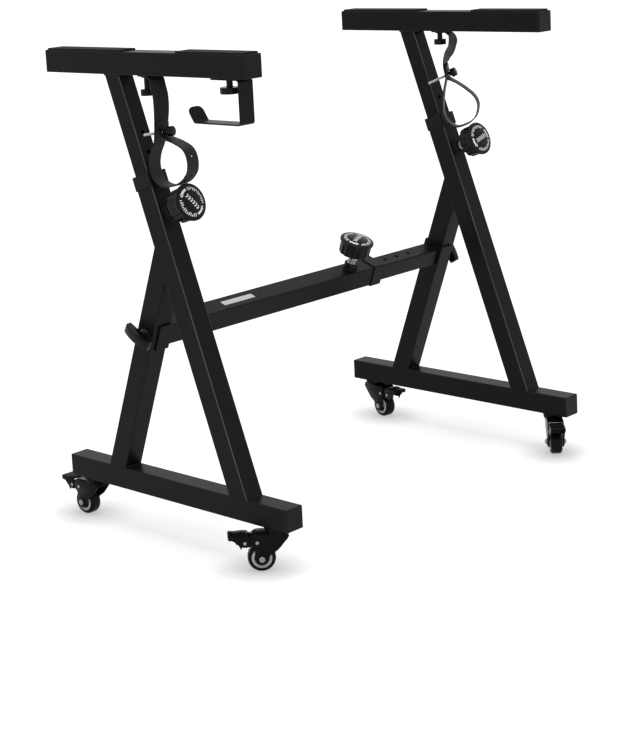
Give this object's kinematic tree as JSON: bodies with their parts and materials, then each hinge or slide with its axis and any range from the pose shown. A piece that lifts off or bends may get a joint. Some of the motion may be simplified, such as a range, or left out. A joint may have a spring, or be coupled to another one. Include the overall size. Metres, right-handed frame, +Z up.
{
  "type": "keyboard stand",
  "caption": "Adjustable keyboard stand: two side frames on braked casters, a telescopic crossbar, and a padded top beam on a telescopic post at each side.",
  "frame": {"origin": "middle of the whole stand's footprint, on the floor", "axes": "+X to the player's right along the crossbar, +Y to the back, away from the player, +Z up"},
  "size_m": [0.9238, 0.6072, 0.8744],
  "materials": {
    "black_steel": "matte black powder coat",
    "zinc": "zinc plated",
    "black_plastic": "fine matte moulded",
    "black_gloss": "glossy moulded",
    "black_rubber": "soft matte",
    "tread": "hard rubber tread",
    "grey_plastic": "moulded light grey"
  },
  "bodies": {
    "left_frame": {"base_beam_left": "black_steel", "base_caps_left": "black_plastic", "long_leg_left": "black_steel", "rear_leg_left": "black_steel", "caster_stems_left": "zinc", "crossbar_outer": "black_steel", "tube_collars": "black_plastic", "pin_bosses": "black_steel", "saddle_bracket_left": "black_steel"},
    "right_frame": {"base_beam_right": "black_steel", "base_caps_right": "black_plastic", "long_leg_right": "black_steel", "rear_leg_right": "black_steel", "caster_stems_right": "zinc", "crossbar_inner": "black_steel", "leg_collar_right": "black_plastic", "pin_boss_right": "black_steel", "saddle_bracket_right": "black_steel"},
    "top_left": {"upper_tube_left": "black_steel", "top_beam_left": "black_steel", "top_caps_left": "black_plastic", "top_pads_left": "black_rubber", "strap_left": "black_rubber", "headphone_hook": "black_steel"},
    "height_sleeve_left": {"height_sleeve_left": "zinc"},
    "height_knob_left": {"height_knob_left": "black_gloss"},
    "t_bolt_left": {"t_handle_left": "black_gloss", "t_bolt_left": "zinc"},
    "strap_screw_left": {"strap_screw_left": "black_gloss"},
    "clamp_screw_left": {"clamp_screw_left": "zinc"},
    "fork_left_front": {"fork_left_front": "black_steel"},
    "wheel_left_front": {"tyre_left_front": "tread", "hub_left_front": "grey_plastic"},
    "pedal_left_front": {"pedal_left_front": "black_plastic"},
    "fork_left_rear": {"fork_left_rear": "black_steel"},
    "wheel_left_rear": {"tyre_left_rear": "tread", "hub_left_rear": "grey_plastic"},
    "pedal_left_rear": {"pedal_left_rear": "black_plastic"},
    "top_right": {"upper_tube_right": "black_steel", "top_beam_right": "black_steel", "top_caps_right": "black_plastic", "top_pads_right": "black_rubber", "strap_right": "black_rubber"},
    "height_sleeve_right": {"height_sleeve_right": "zinc"},
    "height_knob_right": {"height_knob_right": "black_gloss"},
    "t_bolt_right": {"t_handle_right": "black_gloss", "t_bolt_right": "zinc"},
    "strap_screw_right": {"strap_screw_right": "black_gloss"},
    "clamp_screw_right": {"clamp_screw_right": "zinc"},
    "fork_right_front": {"fork_right_front": "black_steel"},
    "wheel_right_front": {"tyre_right_front": "tread", "hub_right_front": "grey_plastic"},
    "pedal_right_front": {"pedal_right_front": "black_plastic"},
    "fork_right_rear": {"fork_right_rear": "black_steel"},
    "wheel_right_rear": {"tyre_right_rear": "tread", "hub_right_rear": "grey_plastic"},
    "pedal_right_rear": {"pedal_right_rear": "black_plastic"},
    "hook_screw": {"hook_screw": "black_gloss"},
    "width_sleeve": {"width_sleeve": "zinc"},
    "width_knob": {"width_knob": "black_gloss"}
  },
  "joints": [
    {"name": "width_slide", "type": "slide", "parent": "left_frame", "child": "right_frame", "axis": [1, 0, 0], "range_m": [-0.18, 0.036]},
    {"name": "height_slide_left", "type": "slide", "parent": "left_frame", "child": "top_left", "axis": [0, 0.3338, 0.9426], "range_m": [-0.144, 0.072], "deforming": ["strap_left", "clamp_screw_left"]},
    {"name": "height_knob_turn_left", "type": "hinge", "parent": "left_frame", "child": "height_sleeve_left", "pos_m": [-0.39182, -0.00269, 0.58968], "axis": [0, -0.9426, 0.3338], "continuous": true},
    {"name": "height_knob_pull_left", "type": "slide", "parent": "height_sleeve_left", "child": "height_knob_left", "axis": [0, -0.9426, 0.3338], "range_m": [0, 0.009], "stiffness_N_per_m": 1500, "springref_m": -0.01},
    {"name": "t_handle_turn_left", "type": "hinge", "parent": "left_frame", "child": "t_bolt_left", "pos_m": [-0.41182, 0.03738, 0.37456], "axis": [-1, 0, 0], "continuous": true},
    {"name": "strap_screw_turn_left", "type": "hinge", "parent": "top_left", "child": "strap_screw_left", "pos_m": [-0.39182, 0.01067, 0.83135], "axis": [0, 0, 1], "continuous": true},
    {"name": "clamp_screw_turn_left", "type": "hinge", "parent": "top_left", "child": "clamp_screw_left", "pos_m": [-0.39692, -0.01923, 0.733], "axis": [0.2059, -0.9686, 0.1392], "continuous": true},
    {"name": "swivel_left_front", "type": "hinge", "parent": "left_frame", "child": "fork_left_front", "pos_m": [-0.39182, -0.23813, 0], "axis": [0, 0, 1], "continuous": true},
    {"name": "wheel_left_front_roll", "type": "hinge", "parent": "fork_left_front", "child": "wheel_left_front", "pos_m": [-0.41131, -0.21944, 0.024], "axis": [0.6921, 0.7218, 0], "continuous": true},
    {"name": "brake_left_front", "type": "hinge", "parent": "fork_left_front", "child": "pedal_left_front", "pos_m": [-0.41614, -0.2148, 0.0528], "axis": [-0.6921, -0.7218, 0], "range_deg": [0, 10]},
    {"name": "swivel_left_rear", "type": "hinge", "parent": "left_frame", "child": "fork_left_rear", "pos_m": [-0.39182, 0.22047, 0], "axis": [0, 0, 1], "continuous": true},
    {"name": "wheel_left_rear_roll", "type": "hinge", "parent": "fork_left_rear", "child": "wheel_left_rear", "pos_m": [-0.39182, 0.24747, 0.024], "axis": [1, 0, 0], "continuous": true},
    {"name": "brake_left_rear", "type": "hinge", "parent": "fork_left_rear", "child": "pedal_left_rear", "pos_m": [-0.39182, 0.25417, 0.0528], "axis": [-1, 0, 0], "range_deg": [0, 10]},
    {"name": "height_slide_right", "type": "slide", "parent": "right_frame", "child": "top_right", "axis": [0, 0.3338, 0.9426], "range_m": [-0.144, 0.072], "deforming": ["strap_right", "clamp_screw_right"]},
    {"name": "height_knob_turn_right", "type": "hinge", "parent": "right_frame", "child": "height_sleeve_right", "pos_m": [0.41558, -0.00269, 0.58968], "axis": [0, -0.9426, 0.3338], "continuous": true},
    {"name": "height_knob_pull_right", "type": "slide", "parent": "height_sleeve_right", "child": "height_knob_right", "axis": [0, -0.9426, 0.3338], "range_m": [0, 0.009], "stiffness_N_per_m": 1500, "springref_m": -0.01},
    {"name": "t_handle_turn_right", "type": "hinge", "parent": "right_frame", "child": "t_bolt_right", "pos_m": [0.43558, 0.03738, 0.37456], "axis": [1, 0, 0], "continuous": true},
    {"name": "strap_screw_turn_right", "type": "hinge", "parent": "top_right", "child": "strap_screw_right", "pos_m": [0.41558, 0.01067, 0.83135], "axis": [0, 0, 1], "continuous": true},
    {"name": "clamp_screw_turn_right", "type": "hinge", "parent": "top_right", "child": "clamp_screw_right", "pos_m": [0.39288, -0.01982, 0.744], "axis": [0.3448, -0.8535, 0.3907], "continuous": true},
    {"name": "swivel_right_front", "type": "hinge", "parent": "right_frame", "child": "fork_right_front", "pos_m": [0.41558, -0.23813, 0], "axis": [0, 0, 1], "continuous": true},
    {"name": "wheel_right_front_roll", "type": "hinge", "parent": "fork_right_front", "child": "wheel_right_front", "pos_m": [0.3952, -0.25584, 0.024], "axis": [-0.6561, 0.7547, 0], "continuous": true},
    {"name": "brake_right_front", "type": "hinge", "parent": "fork_right_front", "child": "pedal_right_front", "pos_m": [0.39015, -0.26024, 0.0528], "axis": [0.6561, -0.7547, 0], "range_deg": [0, 10]},
    {"name": "swivel_right_rear", "type": "hinge", "parent": "right_frame", "child": "fork_right_rear", "pos_m": [0.41558, 0.22047, 0], "axis": [0, 0, 1], "continuous": true},
    {"name": "wheel_right_rear_roll", "type": "hinge", "parent": "fork_right_rear", "child": "wheel_right_rear", "pos_m": [0.4102, 0.19401, 0.024], "axis": [-0.9799, 0.1994, 0], "continuous": true},
    {"name": "brake_right_rear", "type": "hinge", "parent": "fork_right_rear", "child": "pedal_right_rear", "pos_m": [0.40886, 0.18745, 0.0528], "axis": [0.9799, -0.1994, 0], "range_deg": [0, 10]},
    {"name": "hook_screw_turn", "type": "hinge", "parent": "top_left", "child": "hook_screw", "pos_m": [-0.39182, -0.18783, 0.83135], "axis": [0, 0, 1], "continuous": true},
    {"name": "width_knob_turn", "type": "hinge", "parent": "left_frame", "child": "width_sleeve", "pos_m": [0.13188, 0.03738, 0.37456], "axis": [0, -0.3525, 0.9358], "continuous": true},
    {"name": "width_knob_pull", "type": "slide", "parent": "width_sleeve", "child": "width_knob", "axis": [0, -0.3525, 0.9358], "range_m": [0, 0.009], "stiffness_N_per_m": 1500, "springref_m": -0.01}
  ]
}
